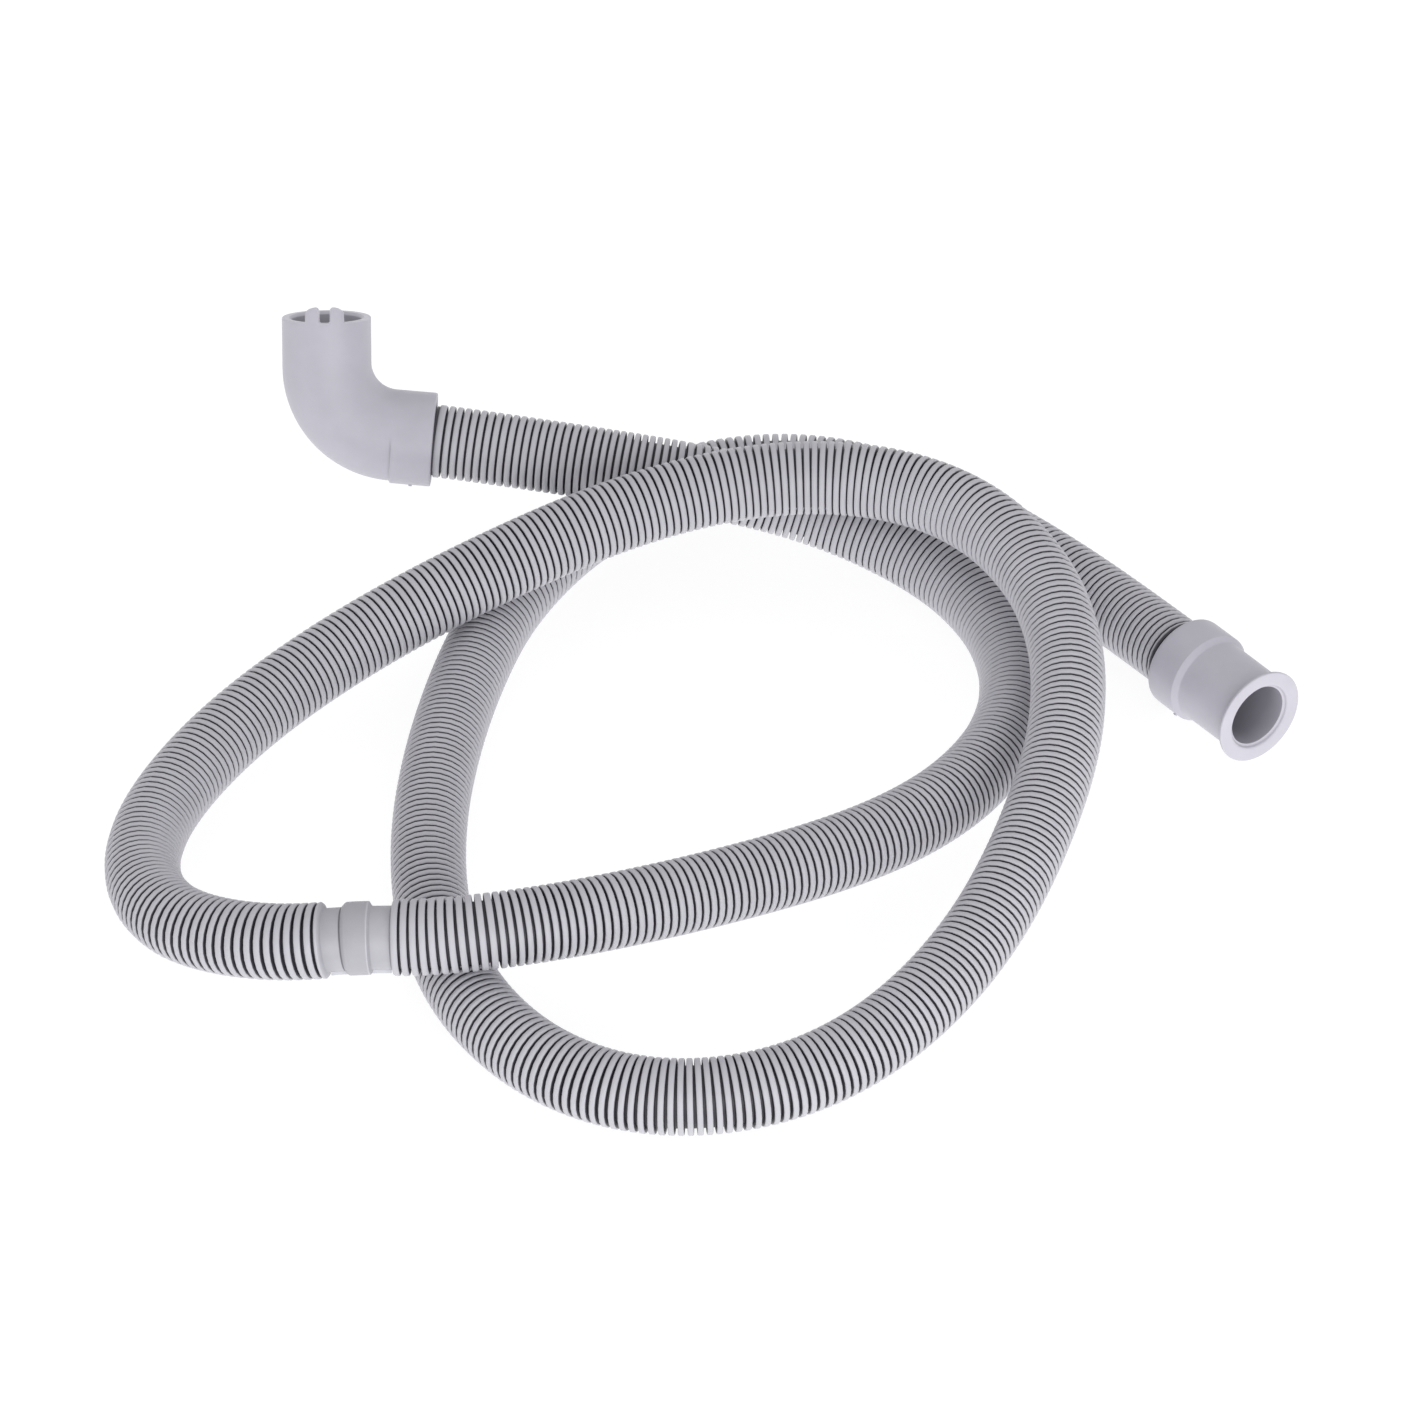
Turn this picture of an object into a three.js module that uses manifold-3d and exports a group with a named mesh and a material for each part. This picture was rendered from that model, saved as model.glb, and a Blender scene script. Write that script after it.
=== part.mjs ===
// Washing machine drain hose: a corrugated hose lying in loose loops, with an elbow fitting on one end
// and a straight flanged fitting on the other.
// Millimetres, +Z up, origin on the floor under the middle of the object.

import * as THREE from "three";
import { NURBSCurve } from "three/addons/curves/NURBSCurve.js";
import { mergeVertices } from "three/addons/utils/BufferGeometryUtils.js";
import Module from "manifold-3d";

// Hose
const HOSE_R = 13; // over the ribs
const HOSE_BORE_R = 9.5;
const HOSE_SIDES = 12;
const HOSE_STEPS = 80;
const CUFF_R = 11.4; // the plain cuffs either side of the middle band
const BAND_R = 12.5;
const END_CUFF_R = 11.4; // the plain ends inside the fittings
const BAND_AT = 581.25; // the middle of the band, as a length from the end in the elbow
const BAND_LENGTH = 9.1;
const BAND_BEVEL = 1;
const CUFF_BEFORE = 6.3; // length of plain cuff on the elbow's side of the band
const CUFF_AFTER = 7.6;
const CUTTER_R = 16;

// The middle line of the hose, from the elbow to the straight fitting: control points of a cubic spline.
const ROUTE = [
  [-112.7, 147.9, 45.7],
  [-100.3, 147.2, 44.9],
  [-62, 142.7, 41.6],
  [-11, 133, 39.4],
  [41, 135.3, 24.5],
  [93.6, 103.5, 15.5],
  [112.4, 53.6, 13.6],
  [101.4, -8.2, 24.6],
  [66.8, -52.1, 29.2],
  [17.2, -83, 35.2],
  [-35.6, -107, 39.5],
  [-79.1, -120.5, 42.2],
  [-129.8, -117.3, 34.3],
  [-184.2, -100.2, 24.3],
  [-200, -49.1, 17.8],
  [-171.8, 8.5, 21.1],
  [-122.7, 53.3, 30.4],
  [-71.9, 80.3, 42.4],
  [-20.9, 107.5, 48.6],
  [35.1, 119.9, 52.9],
  [89.7, 107.7, 51],
  [121.6, 59.1, 48.1],
  [126.5, -0.3, 45.9],
  [115.2, -52.3, 39],
  [92.5, -108.3, 28.3],
  [57.7, -148.1, 17.5],
  [15.7, -170.9, 13.6],
  [-36.4, -170.7, 13],
  [-80.4, -131, 13.5],
  [-98.7, -64.8, 13.1],
  [-94.2, 5.7, 15],
  [-81.6, 65.5, 12.9],
  [-67.8, 102.6, 13.4],
  [-39.6, 145.2, 13.2],
  [2.9, 166.4, 16.8],
  [53, 166.5, 17.3],
  [107.9, 131.9, 12.8],
  [152.1, 79.3, 13.9],
  [168, 55, 17.1],
  [175.7, 44.7, 17.6],
];
const ROUTE_DEGREE = 3;
const ROUTE_SAMPLES = 1200; // how finely its length is measured

// Both fittings
const FIT_GAP = 0.3; // between the hose and the fitting that holds it
const SOCKET_R = END_CUFF_R + FIT_GAP;

// Elbow, in its own frame: the origin is the middle of the socket's face, +X points out along the hose
const ELBOW_R = 15.85;
const ELBOW_ANGLE = 95; // degrees between the leg and the way the hose leaves
const ELBOW_BEND_R = 25; // of the middle line
const ELBOW_FILLET_BEND_R = 28.6; // a wider bend that fills the inner corner of the first one
const ELBOW_FILLET_R = 15.8; // a little thinner, so that it only shows in the corner
const ELBOW_LEG = 41; // from the rim to where the two axes meet
const ELBOW_SOCKET = 38.4; // from the socket's face to where the two axes meet
const ELBOW_MOUTH_R = 12.65;
const ELBOW_MOUTH_DEPTH = 17;
const ELBOW_WATERWAY_R = 10.4;
const ELBOW_GRIP = 15.5; // length of hose inside the socket
const ELBOW_ROLL = -28; // degrees that the leg leans back from upright
const ELBOW_STEPS = 24;
const COLLAR_R = 16.75;
const COLLAR_LENGTH = 14.7;
const COLLAR_ROUND = 0.6;
const COLLAR_STEP = 0.5; // length of the bevel where the collar meets the bend

// The two ears on the elbow's rim
const EAR_WIDTH = 5;
const EAR_GAP = 3.7;
const EAR_RISE = 5.5;
const EAR_SHOULDER = 3.9; // height of an ear's outer side
const EAR_INNER_R = 13.2;
const EAR_ROOT = 2; // how far an ear runs down into the wall

// Straight fitting, along its own axis from the sleeve's back face to the flange
const SLEEVE_R = 16.8;
const SLEEVE_LENGTH = 13.6;
const SLEEVE_ROUND = 1.9; // on its back edge
const SLEEVE_BEVEL = 2.8; // length of the bevel down to the body
const BODY_R = 15.05;
const NECK_R = 14.95; // the body tapers to this
const NECK_FILLET = 1.6;
const FLANGE_R = 17.5;
const FLANGE_THICKNESS = 1.7;
const FLANGE_ROUND = 0.5;
const FITTING_LENGTH = 42;
const FITTING_GRIP = 15; // length of hose inside the sleeve
const FITTING_BORE_R = 11.3;
const FITTING_LIP_R = 12.3;
const FITTING_LIP_DEPTH = 1.9;
const FITTING_LIP_ROUND = 0.5;
const FITTING_SIDES = 48;
const ELBOW_SIDES = 32;

const wasm = await Module();
wasm.setup();

// A closed geometry as a solid that can be joined and cut.
function toSolid(geometry) {
  const g = geometry.clone();
  g.deleteAttribute("normal");
  g.deleteAttribute("uv");
  const merged = mergeVertices(g, 1e-4);
  return new wasm.Manifold(
    new wasm.Mesh({
      numProp: 3,
      vertProperties: merged.attributes.position.array,
      triVerts: new Uint32Array(merged.index.array),
    }),
  );
}

// A solid back as a flat-shaded geometry.
function toGeometry(solid) {
  const mesh = solid.getMesh();
  const g = new THREE.BufferGeometry();
  g.setAttribute("position", new THREE.BufferAttribute(new Float32Array(mesh.vertProperties), 3));
  g.setIndex(new THREE.BufferAttribute(new Uint32Array(mesh.triVerts), 1));
  const flat = g.toNonIndexed();
  flat.computeVertexNormals();
  return flat;
}

function plastic(color, roughness) {
  return new THREE.MeshStandardMaterial({ color, roughness, metalness: 0 });
}

function circle(radius) {
  return new THREE.Shape().absarc(0, 0, radius, 0, 2 * Math.PI);
}

// A pipe of the given section along a path.
function sweep(shape, path, sides, steps) {
  return new THREE.ExtrudeGeometry(shape, {
    extrudePath: path,
    steps,
    curveSegments: sides / 2,
    bevelEnabled: false,
  });
}

// A body of revolution about +X, from points of [distance along X, radius].
function turned(points, sides) {
  const profile = points.map(([x, r]) => new THREE.Vector2(r, x));
  const g = new THREE.LatheGeometry(profile, sides);
  return g.rotateZ(-Math.PI / 2);
}

// A ring about +X from x0 to x1.
function ring(x0, x1, inner, outer, sides) {
  const corners = [
    [x0, inner],
    [x0, outer],
    [x1, outer],
    [x1, inner],
    [x0, inner],
  ];
  return toSolid(turned(corners, sides));
}

// A straight line, a bend and a straight line in the XZ plane: the elbow's middle line, from the rim to
// the socket. It can stop short of either end.
class ElbowLine extends THREE.Curve {
  constructor(bendRadius, trimAtSocket = 0, trimAtRim = 0) {
    super();
    this.radius = bendRadius;
    this.turn = THREE.MathUtils.degToRad(180 - ELBOW_ANGLE);
    const tangentLength = bendRadius * Math.tan(this.turn / 2);
    this.leg = ELBOW_LEG - tangentLength - trimAtRim;
    this.socket = ELBOW_SOCKET - tangentLength - trimAtSocket;
    this.bendStart = tangentLength - ELBOW_SOCKET;
    this.bend = bendRadius * this.turn;
  }

  getPoint(t, target = new THREE.Vector3()) {
    const s = t * (this.leg + this.bend + this.socket);
    if (s > this.leg + this.bend) {
      return target.set(this.bendStart + s - this.leg - this.bend, 0, 0);
    }
    const angle = Math.min(this.turn, (this.leg + this.bend - s) / this.radius);
    const past = Math.max(0, this.leg - s);
    return target.set(
      this.bendStart - this.radius * Math.sin(angle) - past * Math.cos(angle),
      0,
      this.radius * (1 - Math.cos(angle)) + past * Math.sin(angle),
    );
  }
}

// The ears stand on the rim on the leg's -Y side. In their own frame Y runs along the leg, up from
// the rim.
function earOutline(side) {
  const inner = side * (EAR_GAP / 2);
  const outer = side * (EAR_GAP / 2 + EAR_WIDTH);
  const crown = side * (EAR_GAP / 2 + 0.3 * EAR_WIDTH);
  const shape = new THREE.Shape();
  shape.moveTo(inner, -EAR_ROOT);
  shape.lineTo(outer, -EAR_ROOT);
  shape.lineTo(outer, EAR_SHOULDER);
  shape.quadraticCurveTo(side * (EAR_GAP / 2 + 0.8 * EAR_WIDTH), EAR_RISE, crown, EAR_RISE);
  shape.quadraticCurveTo(inner, EAR_RISE, inner, EAR_RISE - 1);
  shape.closePath();
  return shape;
}

function ears() {
  const shapes = [earOutline(-1), earOutline(1)];
  const slabs = new THREE.ExtrudeGeometry(shapes, {
    depth: ELBOW_R,
    bevelEnabled: false,
    curveSegments: 4,
  });
  const wall = ring(-EAR_ROOT, EAR_RISE + 1, EAR_INNER_R, ELBOW_R, ELBOW_SIDES);
  // The wall's axis is +X: the slabs are turned so that their Y runs along it and they reach out
  // towards -Y.
  const turnedSlabs = slabs.applyMatrix4(
    new THREE.Matrix4().makeBasis(
      new THREE.Vector3(0, 0, 1),
      new THREE.Vector3(1, 0, 0),
      new THREE.Vector3(0, 1, 0),
    ),
  );
  return wall.intersect(toSolid(turnedSlabs.rotateX(Math.PI)));
}

// Places a solid made about +X so that its origin is the middle of the elbow's rim and +X points out of
// the mouth.
function onRim(solid) {
  const angle = THREE.MathUtils.degToRad(ELBOW_ANGLE);
  const out = new THREE.Vector3(Math.cos(angle), 0, Math.sin(angle));
  const rim = new THREE.Vector3(-ELBOW_SOCKET, 0, 0).addScaledVector(out, ELBOW_LEG);
  const m = new THREE.Matrix4().makeRotationY(-angle).setPosition(rim);
  return toSolid(toGeometry(solid).applyMatrix4(m));
}

function elbowGeometry() {
  const outside = toSolid(
    sweep(circle(ELBOW_R), new ElbowLine(ELBOW_BEND_R), ELBOW_SIDES, ELBOW_STEPS),
  );
  const corner = toSolid(
    sweep(circle(ELBOW_FILLET_R), new ElbowLine(ELBOW_FILLET_BEND_R, 1, 1), ELBOW_SIDES, ELBOW_STEPS),
  );
  const collar = toSolid(
    turned(
      [
        [-COLLAR_LENGTH - COLLAR_STEP, 0],
        [-COLLAR_LENGTH - COLLAR_STEP, ELBOW_R],
        [-COLLAR_LENGTH, COLLAR_R],
        [-COLLAR_ROUND, COLLAR_R],
        [0, COLLAR_R - COLLAR_ROUND],
        [0, 0],
      ],
      ELBOW_SIDES,
    ),
  );
  const waterway = toSolid(
    sweep(circle(ELBOW_WATERWAY_R), new ElbowLine(ELBOW_BEND_R, 1), ELBOW_SIDES, ELBOW_STEPS),
  );
  const socket = ring(-ELBOW_GRIP - FIT_GAP, 1, 0, SOCKET_R, ELBOW_SIDES);
  const mouth = onRim(ring(-ELBOW_MOUTH_DEPTH, 1, 0, ELBOW_MOUTH_R, ELBOW_SIDES));
  const body = outside.add(corner).add(collar).subtract(waterway).subtract(socket).subtract(mouth);
  return toGeometry(body.add(onRim(ears())));
}

// Points of a quarter round from one point of a profile to another, bulging towards a corner between them.
function rounded([x0, r0], [cornerX, cornerR], [x1, r1], steps = 3) {
  return Array.from({ length: steps + 1 }, (_, i) => {
    const t = i / steps;
    const u = 1 - t;
    return [
      u * u * x0 + 2 * u * t * cornerX + t * t * x1,
      u * u * r0 + 2 * u * t * cornerR + t * t * r1,
    ];
  });
}

function straightFittingGeometry() {
  const face = FITTING_LENGTH;
  const flangeBack = face - FLANGE_THICKNESS;
  const edge = flangeBack + FLANGE_ROUND;
  const flangeFlatR = FLANGE_R - FLANGE_ROUND;
  const lipTopR = FITTING_LIP_R + FITTING_LIP_ROUND;
  const lipBack = face - FITTING_LIP_DEPTH;
  const socketEnd = FITTING_GRIP + FIT_GAP;
  const outline = [
    [0, SOCKET_R],
    ...rounded([0, SLEEVE_R - SLEEVE_ROUND], [0, SLEEVE_R], [SLEEVE_ROUND, SLEEVE_R]),
    [SLEEVE_LENGTH, SLEEVE_R],
    [SLEEVE_LENGTH + SLEEVE_BEVEL, BODY_R],
    ...rounded([flangeBack - NECK_FILLET, NECK_R], [flangeBack, NECK_R], [flangeBack, flangeFlatR]),
    ...rounded([flangeBack, flangeFlatR], [flangeBack, FLANGE_R], [edge, FLANGE_R]).slice(1),
    ...rounded([face - FLANGE_ROUND, FLANGE_R], [face, FLANGE_R], [face, flangeFlatR]),
    ...rounded([face, lipTopR], [face, FITTING_LIP_R], [face - FITTING_LIP_ROUND, FITTING_LIP_R]),
    [lipBack, FITTING_LIP_R],
    [lipBack, FITTING_BORE_R],
    [socketEnd, FITTING_BORE_R],
    [socketEnd, SOCKET_R],
    [0, SOCKET_R],
  ];
  return toGeometry(toSolid(turned(outline, FITTING_SIDES)));
}

const points = ROUTE.map(([x, y, z]) => new THREE.Vector4(x, y, z, 1));
const inner = points.length - ROUTE_DEGREE;
const knots = [
  ...Array(ROUTE_DEGREE).fill(0),
  ...Array.from({ length: inner + 1 }, (_, i) => i / inner),
  ...Array(ROUTE_DEGREE).fill(1),
];
const route = new NURBSCurve(ROUTE_DEGREE, knots, points);
route.arcLengthDivisions = ROUTE_SAMPLES;
const hoseLength = route.getLength();

// The frame on the hose's middle line with +X along the hose, s millimetres from the elbow's end.
function onRoute(s) {
  const u = s / hoseLength;
  const alongX = new THREE.Vector3(1, 0, 0);
  const turn = new THREE.Quaternion().setFromUnitVectors(alongX, route.getTangentAt(u));
  return new THREE.Matrix4().compose(route.getPointAt(u), turn, new THREE.Vector3(1, 1, 1));
}

const elbowEnd = onRoute(0);
const fittingEnd = onRoute(hoseLength);

// Cuts away what stands outside a profile of [length along the frame's +X, radius].
function turnDown(tube, frame, profile) {
  const first = profile[0][0];
  const last = profile[profile.length - 1][0];
  const outside = [[last, CUTTER_R], ...profile.toReversed(), [first, CUTTER_R], [last, CUTTER_R]];
  return tube.subtract(toSolid(turned(outside, 2 * HOSE_SIDES).applyMatrix4(frame)));
}

function hoseGeometry() {
  const section = circle(HOSE_R);
  section.holes.push(new THREE.Path().absarc(0, 0, HOSE_BORE_R, 0, 2 * Math.PI));
  const half = BAND_LENGTH / 2;
  let tube = toSolid(sweep(section, route, HOSE_SIDES, HOSE_STEPS));
  tube = turnDown(tube, onRoute(BAND_AT), [
    [-half - CUFF_BEFORE, CUFF_R],
    [-half, CUFF_R],
    [-half + BAND_BEVEL, BAND_R],
    [half - BAND_BEVEL, BAND_R],
    [half, CUFF_R],
    [half + CUFF_AFTER, CUFF_R],
  ]);
  tube = turnDown(tube, elbowEnd, [
    [-1, END_CUFF_R],
    [ELBOW_GRIP + FIT_GAP, END_CUFF_R],
  ]);
  tube = turnDown(tube, fittingEnd, [
    [-FITTING_GRIP - FIT_GAP, END_CUFF_R],
    [1, END_CUFF_R],
  ]);
  return toGeometry(tube);
}

// A mesh in a group that stands at the given frame.
function standAt(frame, mesh) {
  const group = new THREE.Group();
  frame.decompose(group.position, group.quaternion, group.scale);
  group.add(mesh);
  return group;
}

const hose = new THREE.Mesh(hoseGeometry(), plastic(0xb4b3bc, 0.55));
hose.name = "corrugated_hose";

const elbow = new THREE.Mesh(elbowGeometry(), plastic(0xb9b8c1, 0.6));
elbow.name = "elbow_fitting";
elbow.position.x = ELBOW_GRIP;
elbow.rotation.x = THREE.MathUtils.degToRad(ELBOW_ROLL);

const fitting = new THREE.Mesh(straightFittingGeometry(), plastic(0xb9b8c1, 0.6));
fitting.name = "straight_fitting";
fitting.position.x = -FITTING_GRIP;

const drainHose = new THREE.Group();
drainHose.add(hose, standAt(elbowEnd, elbow), standAt(fittingEnd, fitting));

export default drainHose;
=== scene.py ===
"""A washing machine drain hose lying in loose loops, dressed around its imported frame. Metres, +Z up."""

import bpy
import numpy as np
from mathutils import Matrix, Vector


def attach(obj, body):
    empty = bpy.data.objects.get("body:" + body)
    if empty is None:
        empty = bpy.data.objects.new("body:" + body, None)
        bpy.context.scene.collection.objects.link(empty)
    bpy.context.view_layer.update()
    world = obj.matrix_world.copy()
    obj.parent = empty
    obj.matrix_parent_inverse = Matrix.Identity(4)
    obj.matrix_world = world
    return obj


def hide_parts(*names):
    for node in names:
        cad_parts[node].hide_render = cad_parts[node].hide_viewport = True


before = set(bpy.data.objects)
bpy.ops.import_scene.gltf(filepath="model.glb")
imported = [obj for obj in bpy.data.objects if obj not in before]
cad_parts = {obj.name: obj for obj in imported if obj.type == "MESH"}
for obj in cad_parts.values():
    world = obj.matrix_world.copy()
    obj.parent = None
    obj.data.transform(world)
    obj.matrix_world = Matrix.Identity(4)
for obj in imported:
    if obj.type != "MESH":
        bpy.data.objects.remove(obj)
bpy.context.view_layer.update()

MM = 0.001

# Hose, in millimetres
RIB_R = 13.0  # over the ribs
GROOVE_R = 10.55
SHOULDER_R = 12.7  # where a rib's round top begins
RIB_SHARE = 0.7  # a rib's width over the distance from groove to groove
RIB_ROUND = 0.36  # width of the round on either side of a rib's top
GROOVE_FLOOR = 0.62  # width of the groove's floor
GROOVES_TO_NEXT = 10  # from one entry of the two lists to the next

# Where every tenth groove lies, as a length from the end in the elbow: the ribs stand closer together in some
# stretches than in others. The last entry of a list is the last groove of its stretch.
GROOVES_TO_BAND = [
    19.1, 47.6, 75.3, 101.3, 130.6, 158.4, 187.2, 215.4, 244.6, 276.0,
    308.9, 338.7, 366.1, 393.6, 421.6, 449.7, 478.1, 507.5, 535.1, 566.9,
]
GROOVES_FROM_BAND = [
    594.8, 626.6, 656.1, 683.6, 711.1, 738.3, 765.9, 794.0, 822.2, 850.4,
    878.0, 905.5, 934.0, 962.6, 990.7, 1018.8, 1047.5, 1077.3, 1107.4, 1138.0,
    1167.7, 1195.8, 1223.2, 1250.5, 1277.7, 1304.8, 1332.6, 1361.1, 1389.8, 1418.6,
    1447.2, 1476.2, 1505.1, 1534.6, 1563.4, 1591.3, 1618.3, 1645.2, 1672.7, 1700.6,
    1732.6, 1769.8, 1803.8, 1834.4, 1865.1, 1893.8, 1920.3, 1949.1, 1978.3, 2005.8,
    2022.9,
]
LAST_STEP_TO_BAND = 10  # grooves between the last two entries
LAST_STEP_FROM_BAND = 6
HOSE_SIDES = 23
BORE_R = 9.5
BORE_RINGS = 80
END_CUFF_R = 11.4
STUB_LENGTH = 1.1  # plain stretch between the elbow and the first rib
STUB_R = 12.35
BAND_AT = 581.6  # middle of the raised band, as a length from the end in the elbow
BAND_LENGTH = 9.8
BAND_R = 12.45
BAND_BEVEL_BEFORE = 0.9
BAND_BEVEL_AFTER = 1.3
CUFF_R = 10.8
CUFF_START = 570.0
CUFF_END = 592.5

# The hose's colour follows its depth attribute: 0 on the ribs, 1 in the grooves, where it darkens as painted
# shade, and below 0 for a painted highlight. The band and its cuffs have values of their own, a little darker
# than the ribs; the creases between them carry painted shade, and the ribs beside the straight fitting a
# painted shadow.
BAND_SHADE = 0.158
CUFF_SHADE = 0.147
# The creases are darkened with painted shade, and the light line along the band's edge is a painted highlight
BAND_LINES = [  # (length, half the width, shade): three creases, and a light line along the band's edge
    (CUFF_START, 0.25, 0.2),
    (BAND_AT + BAND_LENGTH / 2 + 0.05, 0.25, 0.22),
    (CUFF_END, 0.25, 0.16),
    (BAND_AT - BAND_LENGTH / 2 + BAND_BEVEL_BEFORE + 0.1, 0.12, 0.0),
]
# A painted highlight on the flash
FLASH_PAINTED_HIGHLIGHT = -0.4
# A painted shadow of the straight fitting on the last ribs
NEAR_FITTING_SHADE = 0.3
NEAR_FITTING_REACH = 4.6  # before the straight fitting
NEAR_FITTING_FADE = 0.8

# Where the stiff band lies, the hose rides a little higher and more level: its middle line is lifted in the
# picture, and tipped towards the camera past the band and away from it before the band, with both fading out
# over their reaches, in millimetres
BAND_LIFT = 1.36
BAND_LIFT_REACH = 14.0
BAND_TILT = 0.11
BAND_TILT_REACH = 25.0

# A thin fin of moulding flash along the band and its cuffs
FLASH_ANGLE = 236.0  # degrees round the hose from its side direction
FLASH_R = 11.95
FLASH_THICKNESS = 0.5

# The middle line of the hose, from the elbow to the straight fitting: control points of a spline, in metres
ROUTE = [
    (-0.1127, 0.1479, 0.0457),
    (-0.1003, 0.1472, 0.0449),
    (-0.062, 0.1427, 0.0416),
    (-0.011, 0.133, 0.0394),
    (0.041, 0.1353, 0.0245),
    (0.0936, 0.1035, 0.0155),
    (0.1124, 0.0536, 0.0136),
    (0.1014, -0.0082, 0.0246),
    (0.0668, -0.0521, 0.0292),
    (0.0172, -0.083, 0.0352),
    (-0.0356, -0.107, 0.0395),
    (-0.0791, -0.1205, 0.0422),
    (-0.1298, -0.1173, 0.0343),
    (-0.1842, -0.1002, 0.0243),
    (-0.2, -0.0491, 0.0178),
    (-0.1718, 0.0085, 0.0211),
    (-0.1227, 0.0533, 0.0304),
    (-0.0719, 0.0803, 0.0424),
    (-0.0209, 0.1075, 0.0486),
    (0.0351, 0.1199, 0.0529),
    (0.0897, 0.1077, 0.051),
    (0.1216, 0.0591, 0.0481),
    (0.1265, -0.0003, 0.0459),
    (0.1152, -0.0523, 0.039),
    (0.0925, -0.1083, 0.0283),
    (0.0577, -0.1481, 0.0175),
    (0.0157, -0.1709, 0.0136),
    (-0.0364, -0.1707, 0.013),
    (-0.0804, -0.131, 0.0135),
    (-0.0987, -0.0648, 0.0131),
    (-0.0942, 0.0057, 0.015),
    (-0.0816, 0.0655, 0.0129),
    (-0.0678, 0.1026, 0.0134),
    (-0.0396, 0.1452, 0.0132),
    (0.0029, 0.1664, 0.0168),
    (0.053, 0.1665, 0.0173),
    (0.1079, 0.1319, 0.0128),
    (0.1521, 0.0793, 0.0139),
    (0.168, 0.055, 0.0171),
    (0.1757, 0.0447, 0.0176),
]
ROUTE_DEGREE = 3
ROUTE_SAMPLES = 12000

# Elbow, in millimetres: lengths run from the socket's face along its middle line to the rim
ELBOW_R = 15.85
ELBOW_TURN = 85.0  # degrees of the bend
ELBOW_BEND_R = 25.0
ELBOW_LEG = 41.0  # from the rim to where the two axes meet
ELBOW_SOCKET = 38.0  # from the socket's face to where they meet
ELBOW_GRIP = 15.1  # length of hose in the socket
ELBOW_ROLL = -28.0  # degrees that the leg leans back from upright
ELBOW_SIDES = 120
COLLAR_R = 16.75
COLLAR_LENGTH = 14.3
COLLAR_ROUND = 0.7
CORNER_FILLET = 9.8  # round between the collar's side and the leg's, in the corner of the bend
SOCKET_R = 11.7
MOUTH_R = 12.65
MOUTH_DEPTH = 17.0
WATERWAY_R = 10.4
EAR_INNER_R = 13.2
EAR_OFFSET = 0.2  # of the slot's middle to one side
SLOT_HALF = 2.1
SLOT_FILLET = 0.8
EAR_WIDTH = 4.85
EAR_RISE = 5.5
EAR_NEAR_ROUND = 1.5  # the round beside the slot
EAR_FAR_ROUND = (3.2, 2.4)  # the longer round on the outer side: across and down
EAR_FOOT_FILLET = 0.5

# Straight fitting, in millimetres: lengths run from the sleeve's back face to the flange
SLEEVE_R = 16.8
SLEEVE_LENGTH = 13.6
SLEEVE_ROUND = 1.9
SLEEVE_BEVEL = 1.85
BODY_R = 15.05  # at BODY_START, from where it tapers to NECK_R beside the flange
BODY_START = 17.0
NECK_R = 14.95
NECK_FILLET = 1.6
FLANGE_R = 17.5
FLANGE_THICKNESS = 1.7
FLANGE_ROUND = 0.5
FITTING_LENGTH = 42.0
FITTING_GRIP = 15.0
FITTING_BORE_R = 11.3
LIP_R = 12.3
LIP_DEPTH = 1.3
LIP_ROUND = 1.0
FITTING_SIDES = 128

# Small blocks left by the moulds' gates: one under the elbow's collar, one beside the straight fitting's
# sleeve
NUB_SIZE = np.array([1.2, 0.9, 1.0])  # along, across and out
ELBOW_NUB_AT = 7.1
ELBOW_NUB_ANGLE = np.radians(169.0)
FITTING_NUB_AT = 11.9
FITTING_NUB_ANGLE = np.radians(217.0)

# The fittings' colour follows their shade attribute: above 0 is darker, as painted shade, below 0 lighter, as
# a painted highlight. In the elbow's mouth and the straight fitting's bore the painted shade starts at one
# value and grows by another over its reach.
MOUTH_SHADE = 0.15
MOUTH_SHADE_MORE = 0.65
MOUTH_SHADE_REACH = 9.0
# Painted shade along the step at the foot of the elbow's collar
STEP_SHADE = 0.2  # along the foot of the elbow's collar
# A painted highlight round the elbow's rim
RIM_PAINTED_HIGHLIGHT = -0.25
# Painted light on the elbow's gate block, against its shade
ELBOW_NUB_PAINTED_LIGHT = -0.4
BORE_SHADE = 0.1
BORE_SHADE_MORE = 0.3
BORE_SHADE_REACH = 9.0
# A painted highlight on the flange and in its recess
FLANGE_PAINTED_HIGHLIGHT = -0.16
# Painted light on the straight fitting's gate block
FITTING_NUB_PAINTED_LIGHT = -0.25

# Camera: it looks along +Y and down, from far away
CAMERA_ELEVATION = np.radians(39.31)
CAMERA_DISTANCE = 3.344
CAMERA_TARGET = np.array([-0.0022, 0.0542, 0.0])
SENSOR = 36.0
FOCAL_SHARE = 9511.0 / 1404.0  # focal length over the width of the picture

# Plastic: a soft mottle of colour and roughness, and a fine grain, with sizes as noise scales per metre
MOTTLE_SCALE = 90.0
MOTTLE_DETAIL = 3.0
MOTTLE_SPAN = (0.3, 0.7)  # noise values that reach the two ends of the mottle
MOTTLE_COLOR = (0.955, 1.03)  # factor on the colour
MOTTLE_ROUGHNESS = (0.44, 0.56)
GRAIN_SCALE = 2600.0
GRAIN_DETAIL = 2.0
GRAIN_STRENGTH = 0.25
GRAIN_HEIGHT = 0.00006

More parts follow.
